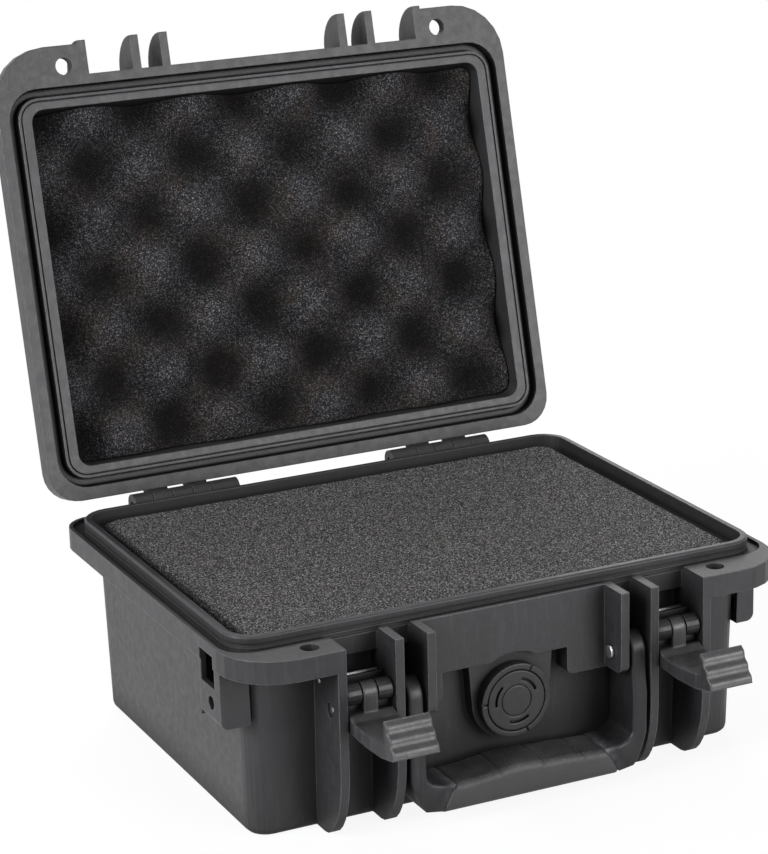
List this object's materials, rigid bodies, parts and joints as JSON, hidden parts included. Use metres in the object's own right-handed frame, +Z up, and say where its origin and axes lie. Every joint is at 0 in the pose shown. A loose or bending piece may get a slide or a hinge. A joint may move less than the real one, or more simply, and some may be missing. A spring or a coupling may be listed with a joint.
{
  "type": "waterproof hard case",
  "caption": "Small waterproof hard case standing open, with foam liners, a hinged lid, draw latches, a carrying handle and a pressure valve.",
  "frame": {"origin": "middle of the base's flat underside", "axes": "+Z up, +Y from the front with the latches and handle to the back with the hinges, X along the width"},
  "size_m": [0.258, 0.3267, 0.2926],
  "materials": {
    "moulded_shell": "fine grained black moulding",
    "moulded_latch": "satin black moulding",
    "grip_rubber": "soft matte overmoulding",
    "gasket_rubber": "matte seal",
    "pin_steel": "bright drawn pin",
    "block_foam": "open-cell foam with a grey speckle",
    "egg_foam": "egg-crate open-cell foam",
    "valve_plastic": "satin black moulding",
    "membrane_film": "thin white breathing film"
  },
  "bodies": {
    "base": {"base_shell": "moulded_shell", "base_foam_pad": "block_foam", "base_foam_block": "block_foam", "hinge_pin_left": "pin_steel", "hinge_pin_right": "pin_steel", "latch_base_pin_left": "pin_steel", "latch_base_pin_right": "pin_steel", "latch_stop_pin_left": "pin_steel", "latch_stop_pin_right": "pin_steel", "handle_pin_left": "pin_steel", "handle_pin_right": "pin_steel", "valve_body": "valve_plastic", "valve_cap": "valve_plastic", "valve_membrane": "membrane_film", "valve_seal": "gasket_rubber"},
    "lid": {"lid_shell": "moulded_shell", "lid_gasket": "gasket_rubber", "lid_foam": "egg_foam"},
    "handle": {"handle_frame": "moulded_latch", "handle_grip": "grip_rubber"},
    "left_link": {"latch_link_left": "moulded_latch", "latch_lever_pin_left": "pin_steel"},
    "right_link": {"latch_link_right": "moulded_latch", "latch_lever_pin_right": "pin_steel"},
    "left_lever": {"latch_lever_left": "moulded_latch"},
    "right_lever": {"latch_lever_right": "moulded_latch"}
  },
  "joints": [
    {"name": "lid_hinge", "type": "hinge", "parent": "base", "child": "lid", "pos_m": [0, 0.1025, 0.0858], "axis": [1, 0, 0], "range_deg": [0, 104.2]},
    {"name": "handle_swing", "type": "hinge", "parent": "base", "child": "handle", "pos_m": [0, -0.101, 0.058], "axis": [-1, 0, 0], "range_deg": [0, 95]},
    {"name": "left_link_swing", "type": "hinge", "parent": "base", "child": "left_link", "pos_m": [-0.07243, -0.101, 0.058], "axis": [1, 0, 0], "range_deg": [-90, 0]},
    {"name": "right_link_swing", "type": "hinge", "parent": "base", "child": "right_link", "pos_m": [0.07243, -0.101, 0.058], "axis": [1, 0, 0], "range_deg": [-90, 0]},
    {"name": "left_lever_swing", "type": "hinge", "parent": "left_link", "child": "left_lever", "pos_m": [-0.07243, -0.1038, 0.0643], "axis": [1, 0, 0], "range_deg": [0, 12]},
    {"name": "right_lever_swing", "type": "hinge", "parent": "right_link", "child": "right_lever", "pos_m": [0.07243, -0.1038, 0.0643], "axis": [1, 0, 0], "range_deg": [0, 12]}
  ]
}
